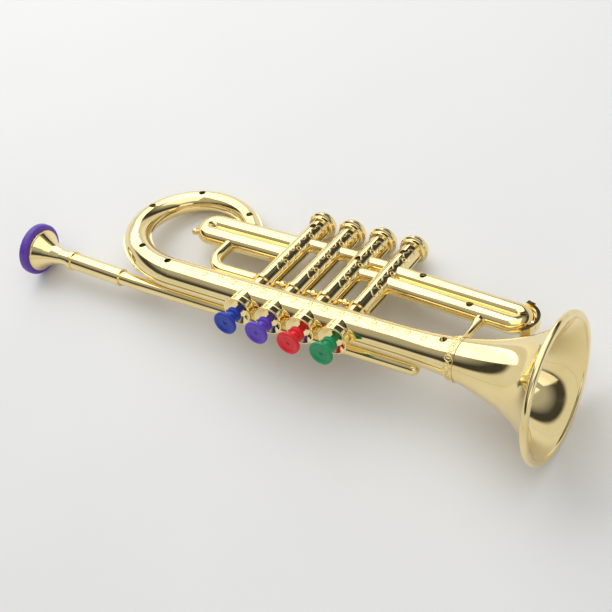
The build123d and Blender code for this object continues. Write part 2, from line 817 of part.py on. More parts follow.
def resting_place():
    """The move from the trumpet's own axes onto the floor, with the origin under its middle."""
    to_floor = floor_plane().location.inverse()
    outermost = [bell(), mouthpiece_ring()] + [bottom_cap(x) for x in valve_places]
    boxes = [(to_floor * piece).bounding_box() for piece in outermost]
    middle_x = (min(box.min.X for box in boxes) + max(box.max.X for box in boxes)) / 2
    middle_y = (min(box.min.Y for box in boxes) + max(box.max.Y for box in boxes)) / 2
    return Pos(-middle_x, -middle_y, 0) * to_floor


def all_pieces():
    """Every piece by name, in the trumpet's own axes."""
    pieces = {"bell": bell(), "bell_ferrule": ferrule()}
    pieces["tube_shell_upper"], pieces["tube_shell_lower"] = tube_shells()
    pieces["valve_shell_upper"], pieces["valve_shell_lower"] = valve_shells()
    outer_sleeve, inner_sleeve, crook = left_slide()
    pieces["left_sleeve_outer"] = outer_sleeve
    pieces["left_sleeve_inner"] = inner_sleeve
    pieces["left_crook"] = crook
    pieces["third_crook"] = third_crook()
    pieces["right_slide_upper"], pieces["right_slide_lower"] = right_slide()
    pieces["slide_guard"] = slide_guard()
    pieces["slide_brace"] = slide_brace()
    pieces["leadpipe"] = leadpipe()
    pieces["receiver"] = receiver()
    pieces["mouthpiece_cup"] = mouthpiece_cup()
    pieces["mouthpiece_ring"] = mouthpiece_ring()
    pieces["shell_screws"] = screws()
    pad_start = plunger_start + plunger_length
    for colour, x in zip(key_colours, valve_places):
        pieces[colour + "_key"] = key(x)
        pieces[colour + "_plunger"] = plunger(x)
        pieces[colour + "_pad"] = tube_ring(
            pad_start, pad_length, plunger_guide_radius + seat_gap,
            casing_bore - pad_squeeze_gap, x,
        )
        pieces[colour + "_spring"] = tube_ring(
            spring_start, spring_length, spring_radius - spring_wire, spring_radius, x
        )
        pieces[colour + "_reed_block"] = reed_block(x)
        pieces[colour + "_reed"] = reed(x)
        pieces[colour + "_top_cap"] = top_cap(x)
        pieces[colour + "_bottom_cap"] = bottom_cap(x)
    return pieces


to_rest = resting_place()
for name, piece in all_pieces().items():
    export_step(to_rest * piece, f"parts/{name}.step")
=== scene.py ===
"""Looks of the toy trumpet: a metallised body, four coloured keys and a soft mouthpiece ring."""

import json
import math

import bmesh
import bpy
import numpy as np
from mathutils import Matrix, Vector


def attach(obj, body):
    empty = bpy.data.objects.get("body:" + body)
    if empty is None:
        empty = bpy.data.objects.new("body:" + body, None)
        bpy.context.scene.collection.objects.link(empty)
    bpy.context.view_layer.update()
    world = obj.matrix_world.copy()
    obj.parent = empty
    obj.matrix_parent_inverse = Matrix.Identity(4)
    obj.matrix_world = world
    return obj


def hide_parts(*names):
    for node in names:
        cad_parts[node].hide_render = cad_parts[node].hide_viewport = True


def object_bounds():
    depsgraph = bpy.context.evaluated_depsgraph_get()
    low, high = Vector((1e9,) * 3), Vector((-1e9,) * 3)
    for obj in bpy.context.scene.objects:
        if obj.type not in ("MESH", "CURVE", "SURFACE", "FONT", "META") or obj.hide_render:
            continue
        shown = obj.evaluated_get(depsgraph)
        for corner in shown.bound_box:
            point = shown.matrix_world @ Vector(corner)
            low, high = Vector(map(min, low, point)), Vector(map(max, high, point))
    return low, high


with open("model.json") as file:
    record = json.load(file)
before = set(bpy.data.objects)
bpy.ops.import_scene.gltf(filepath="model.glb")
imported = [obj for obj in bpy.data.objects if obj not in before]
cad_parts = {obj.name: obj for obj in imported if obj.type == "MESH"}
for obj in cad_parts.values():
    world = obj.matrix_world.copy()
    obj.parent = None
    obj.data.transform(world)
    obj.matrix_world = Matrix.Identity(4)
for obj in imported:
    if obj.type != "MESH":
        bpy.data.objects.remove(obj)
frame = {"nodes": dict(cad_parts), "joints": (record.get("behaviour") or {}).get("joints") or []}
cad_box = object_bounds()

# Sizes are in millimetres and angles in radians. Places along the trumpet start at the
# mouthpiece ring's face.
MM = 0.001
COLOURS = ("blue", "purple", "red", "green")
FIRST_VALVE, VALVE_PITCH = 174.1, 21.7
VALVES = [FIRST_VALVE + VALVE_PITCH * i for i in range(len(COLOURS))]
CASING_NEAR, CASING_FAR, CASING_RADIUS = -9.0, 80.5, 6.6
PLUG_RADIUS, PLUG_DEPTH = 4.95, 3.5
LEAD, LEAD_BEND, LEAD_TILT = (-1.0, -15.5), 86.0, math.radians(2.2)
TUBE_RADIUS, SHELL_WALL = 9.5, 1.8
FLARE_START, BELL_JOINT, RIM_PLACE = 259.9, 311.9, 366.0
RIM_CIRCLE, RIM_BEAD, LENGTH = 40.3, 2.2, 367.9
SPIGOT_LENGTH, SPIGOT_WALL, SPIGOT_GAP = 9.0, 1.2, 0.05
BAND_LENGTH, BAND_LIFT = 6.0, 0.5
rng = np.random.default_rng(7)


# ---- the trumpet's own axes: X to the bell, Y along the casings, Z off the seam ----

def joint_axis(name):
    return Vector(next(j["axis"] for j in frame["joints"] if j["name"] == name)).normalized()


PULL, ACROSS = -joint_axis("mouthpiece_pull"), joint_axis("blue_key_press")
ALONG = PULL * math.cos(LEAD_TILT) + PULL.cross(ACROSS).normalized() * math.sin(LEAD_TILT)
OFF = ALONG.cross(ACROSS).normalized()
TURN = np.array((ALONG, ACROSS, OFF))


def in_axes(node):
    """A CAD node's vertices along the trumpet's axes, in metres from the frame's origin."""
    co = np.zeros(len(frame["nodes"][node].data.vertices) * 3, np.float32)
    frame["nodes"][node].data.vertices.foreach_get("co", co)
    return co.reshape(-1, 3).astype(float) @ TURN.T


def find_origin():
    """The place in the frame from which the trumpet's places are measured, found from the bell."""
    bell = in_axes("bell")
    middle = (bell.min(0) + bell.max(0)) / 2
    return np.array((bell[:, 0].max() - LENGTH * MM, middle[1], middle[2])) @ TURN


ORIGIN = find_origin()


def to_frame(points):
    """Points in the trumpet's axes (mm) to the shared frame (m)."""
    return ORIGIN + np.asarray(points, float) * MM @ TURN


def direction(vector):
    """A direction in the trumpet's axes as one in the shared frame."""
    return Vector(np.asarray(vector, float) @ TURN)


def leaned(points):
    """Places near the mouthpiece, turned with the leadpipe's bend."""
    centre = np.array((LEAD_BEND, *LEAD))
    c, s = math.cos(LEAD_TILT), math.sin(LEAD_TILT)
    turn = np.array(((c, 0, -s), (0, 1, 0), (s, 0, c)))
    return centre + (np.asarray(points, float) - centre) @ turn


# ---- mesh helpers: a mesh is a list of points and a list of faces ----

def piece(name, mesh, slot="gold_plate", body="horn", nodes=(), sharp=35.0):
    """A closed mesh in the trumpet's axes, as a piece that rides on a CAD body."""
    points, faces = mesh
    data = bpy.data.meshes.new(name)
    data.from_pydata([tuple(p) for p in to_frame(points)], [], [tuple(f) for f in faces])
    work = bmesh.new()
    work.from_mesh(data)
    bmesh.ops.remove_doubles(work, verts=work.verts, dist=1e-7)
    bmesh.ops.recalc_face_normals(work, faces=work.faces)
    work.to_mesh(data)
    work.free()
    data.polygons.foreach_set("use_smooth", [True] * len(data.polygons))
    data.set_sharp_from_angle(angle=math.radians(sharp))
    data.materials.append(SKINS[slot])
    made = bpy.data.objects.new(name, data)
    bpy.context.scene.collection.objects.link(made)
    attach(made, body)
    if nodes:
        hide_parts(*nodes)
    return made


def rounded(corners, steps=5):
    """An outline of (along, radius, fillet) corners, rounded, with a point beside each fillet."""
    most, beside, roomy = 0.49, 1.3, 3.0
    out = []
    for i, (a, r, fillet) in enumerate(corners):
        corner = np.array((a, r), float)
        if not fillet or i in (0, len(corners) - 1):
            out.append(corner)
            continue
        before = np.array(corners[i - 1][:2], float) - corner
        after = np.array(corners[i + 1][:2], float) - corner
        room_a, room_b = np.linalg.norm(before), np.linalg.norm(after)
        u, v = before / room_a, after / room_b
        half = math.acos(max(-1.0, min(1.0, float(u @ v)))) / 2
        cut = min(fillet / math.tan(half), most * room_a, most * room_b)
        radius = cut * math.tan(half)
        centre = corner + (u + v) / np.linalg.norm(u + v) * radius / math.sin(half)
        first, last = corner + u * cut - centre, corner + v * cut - centre
        span = math.acos(max(-1.0, min(1.0, float(first @ last) / radius**2)))
        if room_a > roomy * cut:
            out.append(corner + u * cut * beside)
        for s in np.linspace(0, 1, steps + 1):
            out.append(centre + (math.sin((1 - s) * span) * first
                                 + math.sin(s * span) * last) / math.sin(span))
        if room_b > roomy * cut:
            out.append(corner + v * cut * beside)
    return [tuple(p) for p in out]


def place_round(along, radius, angle, axis, centre):
    """A point round the X or Y axis; angle 0 is off the seam (+Z)."""
    u, w = radius * math.sin(angle), radius * math.cos(angle)
    if axis == "X":
        return (along, centre[0] + u, centre[1] + w)
    return (centre[0] + u, along, centre[1] + w)


def turned_mesh(outline, axis, centre, steps=96):
    """An outline of (along, radius) turned about X or Y through centre."""
    points, faces, rings = [], [], []
    for along, radius in outline:
        start = len(points)
        if not radius:
            rings.append([start])
            points.append(place_round(along, 0.0, 0.0, axis, centre))
            continue
        rings.append(list(range(start, start + steps)))
        for angle in np.arange(steps) * 2 * math.pi / steps:
            points.append(place_round(along, radius, angle, axis, centre))
    pairs = list(zip(rings, rings[1:]))
    if len(rings[0]) > 1 and len(rings[-1]) > 1:
        pairs.append((rings[-1], rings[0]))
    for a, b in pairs:
        for k in range(steps):
            n = (k + 1) % steps
            if len(a) == 1:
                faces.append((a[0], b[k], b[n]))
            elif len(b) == 1:
                faces.append((a[k], b[0], a[n]))
            else:
                faces.append((a[k], b[k], b[n], a[n]))
    return points, faces


def relief_bead(path, normals, width, height, closed=False, sides=10):
    """A raised rib along points on a skin: an oval section half sunk in it, thin at open ends."""
    path, normals = np.asarray(path, float), np.asarray(normals, float)
    count = len(path)
    if closed:
        ahead = np.roll(path, -1, 0) - np.roll(path, 1, 0)
        share = np.ones(count)
    else:
        ahead = np.gradient(path, axis=0)
        along, end_share, thinnest = np.linspace(0, 1, count), 0.2, 0.12
        share = np.clip(np.sqrt(np.minimum(along, 1 - along) / end_share), thinnest, 1)
    side = np.cross(ahead / np.linalg.norm(ahead, axis=1)[:, None], normals)
    side /= np.linalg.norm(side, axis=1)[:, None]
    points, faces = [], []
    for i in range(count):
        for a in np.arange(sides) * 2 * math.pi / sides:
            points.append(path[i] + side[i] * width / 2 * share[i] * math.cos(a)
                          + normals[i] * height * share[i] * math.sin(a))
    for i in range(count if closed else count - 1):
        j = (i + 1) % count
        for k in range(sides):
            n = (k + 1) % sides
            faces.append((i * sides + k, j * sides + k, j * sides + n, i * sides + n))
    if not closed:
        faces.append(tuple(range(sides)))
        faces.append(tuple((count - 1) * sides + k for k in range(sides)))
    return points, faces


def joined(meshes):
    """Several meshes as one."""
    points, faces = [], []
    for more, loops in meshes:
        start = len(points)
        points.extend(more)
        faces.extend(tuple(start + i for i in loop) for loop in loops)
    return points, faces


# ---- materials ----

def shader(name):
    """A new material with its node tree and its principled shader."""
    made = bpy.data.materials.new(name)
    made.use_nodes = True
    tree = made.node_tree
    return made, tree, tree.nodes["Principled BSDF"]


def noise(tree, scale, detail=4.0, rough=0.5):
    """Noise on the shared frame's coordinates, scale in repeats per metre."""
    where = tree.nodes.new("ShaderNodeTexCoord")
    out = tree.nodes.new("ShaderNodeTexNoise")
    out.inputs["Scale"].default_value = scale
    out.inputs["Detail"].default_value = detail
    out.inputs["Roughness"].default_value = rough
    tree.links.new(where.outputs["Object"], out.inputs["Vector"])
    return out.outputs["Fac"]


def ramp(tree, value, stops):
    """A colour ramp of (place, colour or grey) stops."""
    out = tree.nodes.new("ShaderNodeValToRGB")
    while len(out.color_ramp.elements) < len(stops):
        out.color_ramp.elements.new(0.5)
    for element, (place, colour) in zip(out.color_ramp.elements, stops):
        element.position = place
        element.color = (*colour, 1.0) if isinstance(colour, tuple) else (colour,) * 3 + (1.0,)
    tree.links.new(value, out.inputs["Fac"])
    return out.outputs["Color"]


def maths(tree, operation, first, second):
    out = tree.nodes.new("ShaderNodeMath")
    out.operation = operation
    tree.links.new(first, out.inputs[0])
    tree.links.new(second, out.inputs[1])
    return out.outputs[0]


def bumps(tree, layers):
    """Bump nodes in a chain, from (height, distance in metres, strength)."""
    normal = None
    for height, distance, strength in layers:
        out = tree.nodes.new("ShaderNodeBump")
        out.inputs["Distance"].default_value = distance
        out.inputs["Strength"].default_value = strength
        tree.links.new(height, out.inputs["Height"])
        if normal:
            tree.links.new(normal, out.inputs["Normal"])
        normal = out.outputs["Normal"]
    return normal


def gold_plate():
    """Vacuum-metallised plastic under a clear coat: mirror-like, a little wavy, faintly smudged."""
    made, tree, out = shader("gold_plate_skin")
    pale, deep = (0.95, 0.79, 0.41), (0.90, 0.72, 0.335)
    clean, smudged = 0.055, 0.15
    tint = ramp(tree, noise(tree, 55.0, 3.0), [(0.3, deep), (0.7, pale)])
    smudge = ramp(tree, noise(tree, 140.0, 6.0, 0.62), [(0.42, clean), (0.72, smudged)])
    waves = (noise(tree, 38.0, 1.0), 0.0006, 0.25)
    grain = (noise(tree, 2600.0, 2.0), 0.00002, 0.10)
    tree.links.new(tint, out.inputs["Base Color"])
    tree.links.new(smudge, out.inputs["Roughness"])
    tree.links.new(bumps(tree, [waves, grain]), out.inputs["Normal"])
    out.inputs["Metallic"].default_value = 1.0
    out.inputs["Coat Weight"].default_value = 0.25
    out.inputs["Coat Roughness"].default_value = 0.04
    return made


def moulded(name, dark, light, rough=(0.28, 0.42)):
    """Injection-moulded plastic with a fine grain and uneven gloss."""
    made, tree, out = shader(name)
    tint = ramp(tree, noise(tree, 180.0, 5.0, 0.6), [(0.3, dark), (0.7, light)])
    gloss = ramp(tree, noise(tree, 420.0, 6.0, 0.6), [(0.35, rough[0]), (0.7, rough[1])])
    sinks = (noise(tree, 260.0, 2.0), 0.0001, 0.18)
    grain = (noise(tree, 1400.0, 3.0), 0.00002, 0.35)
    tree.links.new(tint, out.inputs["Base Color"])
    tree.links.new(gloss, out.inputs["Roughness"])
    tree.links.new(bumps(tree, [sinks, grain]), out.inputs["Normal"])
    return made


def plain_metal(name, dark, light, rough):
    """Drawn or pressed metal with a fine grain."""
    made, tree, out = shader(name)
    tint = ramp(tree, noise(tree, 900.0, 4.0), [(0.3, dark), (0.7, light)])
    gloss = ramp(tree, noise(tree, 1500.0, 5.0), [(0.3, rough[0]), (0.7, rough[1])])
    grain = (noise(tree, 5200.0, 2.0), 0.00001, 0.4)
    tree.links.new(tint, out.inputs["Base Color"])
    tree.links.new(gloss, out.inputs["Roughness"])
    tree.links.new(bumps(tree, [grain]), out.inputs["Normal"])
    out.inputs["Metallic"].default_value = 1.0
    return made


SKINS = {
    "gold_plate": gold_plate(),
    "blue_plastic": moulded("blue_skin", (0.008, 0.035, 0.36), (0.012, 0.05, 0.45)),
    "purple_plastic": moulded("purple_skin", (0.10, 0.04, 0.46), (0.13, 0.055, 0.55)),
    "red_plastic": moulded("red_skin", (0.74, 0.006, 0.015), (0.86, 0.012, 0.025)),
    "green_plastic": moulded("green_skin", (0.004, 0.26, 0.09), (0.008, 0.34, 0.12)),
    "ring_plastic": moulded("ring_skin", (0.10, 0.035, 0.37), (0.145, 0.055, 0.47), (0.30, 0.44)),
    "white_plastic": moulded("white_skin", (0.72, 0.71, 0.68), (0.80, 0.79, 0.76), (0.4, 0.55)),
    "pad_rubber": moulded("rubber_skin", (0.02, 0.02, 0.02), (0.035, 0.035, 0.035), (0.6, 0.8)),
    "spring_steel": plain_metal("spring_skin", (0.42, 0.42, 0.43), (0.55, 0.55, 0.56), (0.2, 0.35)),
    "reed_brass": plain_metal("brass_skin", (0.70, 0.48, 0.20), (0.80, 0.58, 0.28), (0.2, 0.35)),
    "screw_steel": plain_metal("screw_skin", (0.20, 0.20, 0.21), (0.32, 0.32, 0.33), (0.22, 0.42)),
}


def dress_cad():
    """Gives the CAD nodes that stay as they are the skins of their materials."""
    for node in frame["nodes"].values():
        for held in node.material_slots:
            held.material = SKINS[held.material.name.split(".")[0]]


# ---- bell, its collar and the ornament on the horn ----

def horn_radius(x):
    """The horn's outer radius: the tube, then a slow flare that opens fast at the rim."""
    if x <= FLARE_START:
        return TUBE_RADIUS
    slow_share, fast_share = 0.81, 0.19
    along = (x - FLARE_START) / (RIM_PLACE - FLARE_START)
    opened = slow_share * along**3 + fast_share * along**14
    return TUBE_RADIUS + (RIM_CIRCLE - TUBE_RADIUS) * opened


def horn_skin(x, lift=0.0):
    """A point of the horn's outline, moved square to its wall."""
    step = 0.05
    tilt = math.atan2(horn_radius(x + step) - horn_radius(x - step), 2 * step)
    return (x - lift * math.sin(tilt), horn_radius(x) + lift * math.cos(tilt))


def horn_place(x, angle, lift=0.0):
    """A point on the horn's skin and the outward direction there; angle 0 is off the seam (+Z)."""
    at, radius = horn_skin(x, lift)
    turn = np.array((0.0, math.sin(angle), math.cos(angle)))
    return np.array((at, 0.0, 0.0)) + radius * turn, turn


def horn_rib(track, lift, width, height, closed=False):
    """A rib along (x, angle) places on the horn."""
    path, normals = zip(*(horn_place(x, angle, lift) for x, angle in track))
    return relief_bead(path, normals, width, height, closed, sides=8)


def make_bell():
    """The bell's wall, the bead at its rim, cut flat in front, and the spigot in the tube."""
    clear_of_bead, overlap = 1.01 * RIM_BEAD, 0.10

    def clear(p):
        return math.hypot(p[0] - RIM_PLACE, p[1] - RIM_CIRCLE) > clear_of_bead

    def bead_angle(p):
        return math.atan2(p[1] - RIM_CIRCLE, p[0] - RIM_PLACE) % (2 * math.pi)

    shares = np.sin(np.linspace(0, math.pi / 2, 70))
    stations = BELL_JOINT + (RIM_PLACE - BELL_JOINT) * shares
    outer = [p for p in (horn_skin(x) for x in stations) if clear(p)]
    inner = [p for p in (horn_skin(x, -SHELL_WALL) for x in stations) if clear(p)]
    begin, end = bead_angle(outer[-1]) - overlap, bead_angle(inner[-1]) - 2 * math.pi + overlap
    bead = [(min(RIM_PLACE + RIM_BEAD * math.cos(a), LENGTH), RIM_CIRCLE + RIM_BEAD * math.sin(a))
            for a in np.linspace(begin, end, 30)]
    spigot, back = horn_radius(BELL_JOINT) - SHELL_WALL - SPIGOT_GAP, BELL_JOINT - SPIGOT_LENGTH
    bore = spigot - SPIGOT_WALL
    neck = [(BELL_JOINT, bore), (back, bore), (back, spigot), (BELL_JOINT, spigot)]
    outline = outer + bead + inner[::-1] + neck
    piece("bell_skin", turned_mesh(outline, "X", (0.0, 0.0), steps=192), nodes=["bell"])


def leaf_loop(middle, reach, half, count=26):
    """A pointed leaf's outline in (along, across) places."""
    loop = []
    for t in np.linspace(0, 2 * math.pi, count, endpoint=False):
        loop.append((middle - reach * math.cos(t), half * math.sin(t) * abs(math.sin(t)) ** 0.5))
    return loop


def make_ferrule():
    """The collar at the bell's joint: leaves with midribs, and buds between them.

    A leaf and a bud are (place in a step, half length, half width)."""
    count, edge, edge_lift, bore_lift = 14, 0.15, 0.06, 0.05
    leaf, bud, midrib_half = (0.0, 2.35, 1.55), (0.5, 1.1, 0.7), 1.5
    outline_section, midrib_section = (0.62, 0.34), (0.6, 0.3)
    start = BELL_JOINT - BAND_LENGTH
    stations = np.linspace(start + edge, BELL_JOINT - edge, 16)
    outline = [horn_skin(start, edge_lift)]
    outline += [horn_skin(x, BAND_LIFT) for x in stations]
    outline += [horn_skin(BELL_JOINT, edge_lift)]
    outline += [horn_skin(x, bore_lift) for x in stations[::-3]]
    parts = [turned_mesh(outline, "X", (0.0, 0.0), steps=160)]
    middle, step = start + BAND_LENGTH / 2, 2 * math.pi / count
    midrib = np.linspace(middle - midrib_half, middle + midrib_half, 12)
    for k in range(count):
        for place, reach, half in (leaf, bud):
            turn = step * (k + place)
            loop = [(x, turn + v / horn_radius(x)) for x, v in leaf_loop(middle, reach, half)]
            parts.append(horn_rib(loop, BAND_LIFT, *outline_section, closed=True))
        parts.append(horn_rib([(x, step * k) for x in midrib], BAND_LIFT, *midrib_section))
    piece("leaf_band", joined(parts), nodes=["bell_ferrule"], sharp=50)


def make_scroll():
    """A faint winding stem with curls, cast along the top of the bell tube."""
    start, end, middle, period, swing = 137.0, 297.0, math.radians(-8), 21.0, 1.7
    height, stem_width, curl_width = 0.30, 0.85, 0.7
    curl_reach, curl_turns, curl_closing, curl_ahead, curl_off = 2.1, 1.15, 0.72, 1.2, 0.3

    def rib(places, width):
        track = [(x, middle + out / TUBE_RADIUS) for x, out in places]
        return horn_rib(track, 0.0, width, height)

    stem = [(x, swing * math.sin(2 * math.pi * (x - start) / period))
            for x in np.linspace(start, end, 320)]
    parts = [rib(stem, stem_width)]
    for k in range(int((end - start) / period * 2)):
        side, x = (-1) ** (k + 1), start + (k + 0.5) * period / 2
        curl = []
        for t in np.linspace(0, 1, 30):
            turn, reach = 2 * math.pi * curl_turns * t, curl_reach * (1 - curl_closing * t)
            curl.append((x + curl_ahead - reach * math.cos(turn),
                         side * (curl_off + reach * math.sin(turn))))
        parts.append(rib(curl, curl_width))
    piece("tube_scroll", joined(parts))


# ---- valves: outlines of (place along the valve, radius, fillet), then the casings' relief ----

def key_outline():
    """A hollowed cap, a stem with a grooved stop disc, a rod through the cap and a peg."""
    face, back, edge = -28.0, -25.5, 7.4
    stop, rod_end, peg_end = -16.8, -5.45, -0.45
    stem, disc, groove, rod, peg = 3.2, 4.6, 4.15, 2.2, 1.4
    cap = [
        (face + 1.65, 0, 0), (face + 1.65, 0.95, 0.3), (face + 1.0, 1.2, 0.25),
        (face + 0.85, 4.2, 0.8), (face + 0.5, 4.9, 0.4), (face + 0.1, 5.7, 0.5),
        (face, 6.3, 0.6), (face + 0.25, edge, 1.0), (back + 0.05, edge - 0.05, 0.9),
        (back, 4.9, 0.9),
    ]
    stem_and_disc = [
        (back + 1.3, stem, 1.4), (stop - 3.2, stem, 0.6), (stop - 2.6, disc - 0.4, 0.35),
        (stop - 2.1, disc, 0.3), (stop - 1.5, disc, 0.2), (stop - 1.3, groove, 0.2),
        (stop - 0.9, groove, 0.2), (stop - 0.7, disc, 0.2), (stop, disc - 0.1, 0.3),
    ]
    rod_and_peg = [
        (stop, rod, 0.3), (rod_end, rod, 0.1), (rod_end, peg, 0.1), (peg_end, peg, 0.2),
        (peg_end, 0, 0),
    ]
    return rounded(cap + stem_and_disc + rod_and_peg)


def top_cap_outline():
    """A dished cap with a bore for the key's stem and a plug in the casing."""
    base, floor, rim, bore = CASING_NEAR, CASING_NEAR - 3.4, CASING_NEAR - 6.2, 2.28
    plug_end = base + PLUG_DEPTH
    return rounded([
        (floor, bore, 0.1), (floor, 5.2, 0.3), (floor - 1.0, 6.3, 0.5), (rim + 0.3, 8.1, 0.5),
        (rim, 8.5, 0.25), (rim, 9.15, 0.4), (rim + 1.0, 9.2, 0.45), (rim + 1.3, 8.65, 0.3),
        (base - 1.2, 8.5, 0.6), (base - 0.7, 8.7, 0.2), (base, 8.65, 0.2),
        (base, PLUG_RADIUS, 0.1), (plug_end, PLUG_RADIUS, 0.1), (plug_end, bore, 0.1),
    ])


def bottom_cap_outline():
    """A plug, a skirt round the casing's end, a flange, a step and a low boss."""
    base, skirt, boss = CASING_FAR, CASING_FAR - 3.0, CASING_FAR + 6.2
    plug_end, bore = base - PLUG_DEPTH, CASING_RADIUS + 0.05
    return rounded([
        (plug_end, 0, 0), (plug_end, PLUG_RADIUS, 0.2), (base, PLUG_RADIUS, 0.05),
        (base, bore, 0.05), (skirt, bore, 0.05), (skirt, 7.9, 0.25), (skirt + 0.5, 8.0, 0.3),
        (base - 0.6, 8.0, 0.5), (base, 8.9, 0.35), (base + 0.2, 9.2, 0.3),
        (base + 1.6, 9.2, 0.3), (base + 1.8, 8.5, 0.2), (base + 3.9, 8.3, 0.9),
        (base + 4.8, 6.9, 0.6), (base + 4.85, 5.1, 0.3), (boss - 0.3, 4.9, 0.5),
        (boss, 3.8, 0.4), (boss, 0, 0),
    ])


def casing_rib(x, track, width, height):
    """A closed rib along (y, angle) places on a casing; angle 0 is off the seam (+Z)."""
    normals = [(math.sin(a), 0.0, math.cos(a)) for _, a in track]
    path = [place_round(y, CASING_RADIUS, a, "Y", (x, 0.0)) for y, a in track]
    return relief_bead(path, normals, width, height, closed=True)


def casing_relief(x):
    """A wavy-edged ribbon along the casing, with three rings in it."""
    middle, low, high, half, end_run = math.radians(36), 25.0, 73.0, 2.3, 1.6
    swing, period, phase, end_share = 0.75, 6.4, 1.3, 0.02
    ring_places, ring_radius = (62.5, 47.9, 33.3), 1.25
    edge_section, ring_section = (0.95, 0.26), (0.80, 0.52)
    edge = []
    for side in (1, -1):
        for y in np.linspace(low, high, 150)[::side]:
            share = math.sqrt(max(min(1.0, (y - low) / end_run, (high - y) / end_run), end_share))
            wave = half + swing * math.sin(2 * math.pi * y / period + phase * side)
            edge.append((y, middle + side * wave * share / CASING_RADIUS))
    parts = [casing_rib(x, edge, *edge_section)]
    for y in ring_places:
        ring = [(y + ring_radius * math.cos(t), middle + ring_radius * math.sin(t) / CASING_RADIUS)
                for t in np.linspace(0, 2 * math.pi, 28, endpoint=False)]
        parts.append(casing_rib(x, ring, *ring_section))
    return joined(parts)


def make_valves():
    for colour, x in zip(COLOURS, VALVES):
        for part, outline, slot, body in (
                ("key", key_outline(), colour + "_plastic", colour + "_valve"),
                ("top_cap", top_cap_outline(), "gold_plate", "horn"),
                ("bottom_cap", bottom_cap_outline(), "gold_plate", "horn")):
            node = f"{colour}_{part}"
            piece(node + "_skin", turned_mesh(outline, "Y", (x, 0.0)), slot, body, [node])
        piece(colour + "_casing_ribbon", casing_relief(x))


# ---- screws ----

SCREW_TOP, SCREW_SEAT, SCREW_END, SCREW_HEAD, SCREW_SHAFT = 3.1, 2.0, -3.8, 1.6, 0.8


def screw_places():
    """Where the screws stand, from the CAD heads: each head's vertices lie close together."""
    one_head, top_slice, found = 2.2 * SCREW_HEAD, 0.1, []
    points = (in_axes("shell_screws") - ORIGIN @ TURN.T) / MM
    for p in points[points[:, 2] > SCREW_TOP - top_slice, :2]:
        near = [group for group in found if np.hypot(*(group[0] - p)) < one_head]
        if near:
            near[0].append(p)
        else:
            found.append([p])
    return [(np.min(group, axis=0) + np.max(group, axis=0)) / 2 for group in found]


def screw(x, y, turn, steps=64):
    """A pan-headed screw with a cross recess, as rings round its axis."""
    crown, edge_drop, middle_depth = 0.16, 0.35, 0.75
    recess_depth, recess_reach, recess_half, end_slope, side_slope = 0.7, 1.12, 0.2, 0.15, 0.12
    crown_rings = np.linspace(0.1, 1.5, 15)
    rings = [(r, SCREW_TOP - crown * (r / SCREW_HEAD) ** 3, True) for r in crown_rings]
    rings += [(SCREW_HEAD, SCREW_TOP - edge_drop, False), (SCREW_HEAD, SCREW_SEAT, False),
              (SCREW_SHAFT, SCREW_SEAT, False), (SCREW_SHAFT, SCREW_END, False)]
    points = [(x, y, SCREW_TOP - middle_depth)]
    for radius, height, top in rings:
        for k in range(steps):
            a = 2 * math.pi * k / steps
            u, v = abs(radius * math.cos(a + turn)), abs(radius * math.sin(a + turn))
            wall = min(1.0, max(0.0, (min(u, v) - recess_half) / side_slope))
            end = min(1.0, max(0.0, (recess_reach - radius) / end_slope))
            deep = (1 - wall) * end if top else 0.0
            points.append((x + radius * math.cos(a), y + radius * math.sin(a),
                           height - recess_depth * deep))
    points.append((x, y, SCREW_END))
    faces = [(0, 1 + k, 1 + (k + 1) % steps) for k in range(steps)]
    for i in range(len(rings) - 1):
        a, b = 1 + i * steps, 1 + (i + 1) * steps
        faces += [(a + k, b + k, b + (k + 1) % steps, a + (k + 1) % steps) for k in range(steps)]
    a, tip = 1 + (len(rings) - 1) * steps, len(points) - 1
    faces += [(a + k, tip, a + (k + 1) % steps) for k in range(steps)]
    return points, faces


def make_screws():
    made = [screw(x, y, rng.uniform(0, math.pi / 2)) for x, y in screw_places()]
    piece("cross_screws", joined(made), "screw_steel", nodes=["shell_screws"], sharp=25)


# ---- mouthpiece: outlines of (place from the ring's face, radius, fillet) ----

RING_RADIUS, RING_DEPTH, RING_BORE = 16.9, 5.4, 12.0


def leaned_mesh(outline):
    """An outline turned about the leadpipe's axis beyond its bend."""
    points, faces = turned_mesh(outline, "X", LEAD, steps=128)
    return leaned(points), faces


def ring_outline():
    """A soft ring with a full outer edge and a rounded way into the cup."""
    return rounded([
        (0.0, 14.3, 0.0), (0.0, RING_RADIUS, 1.9), (RING_DEPTH, RING_RADIUS, 1.9),
        (RING_DEPTH, RING_BORE, 0.6), (0.4, RING_BORE, 1.6), (0.0, 13.9, 0.8),
    ], 8)


def cup_outline():
    """The shank and its bore, the collar, the cup's outside with its shoulder, and its inside."""
    bore, shank, collar, shoulder, neck = 2.1, 4.0, 5.2, 13.6, RING_BORE - 0.05
    shank_start, shank_end, lip = 31.0, 53.0, 1.0
    return rounded([
        (13.0, bore, 0.3), (shank_end, bore, 0.2), (shank_end, shank, 0.3),
        (shank_start, shank, 0.1), (shank_start, collar, 0.2), (23.0, collar, 5.0),
        (17.0, 6.5, 9.0), (12.5, 8.9, 9.0), (RING_DEPTH + 1.4, shoulder - 0.9, 0.5),
        (RING_DEPTH + 1.3, shoulder - 0.15, 0.25), (RING_DEPTH + 1.0, shoulder, 0.2),
        (RING_DEPTH, shoulder, 0.1), (RING_DEPTH, neck, 0.1), (lip, neck, 0.2), (lip, 10.6, 0.4),
        (3.5, 10.2, 2.0), (8.0, 8.2, 3.0), (11.5, 4.6, 2.0),
    ])


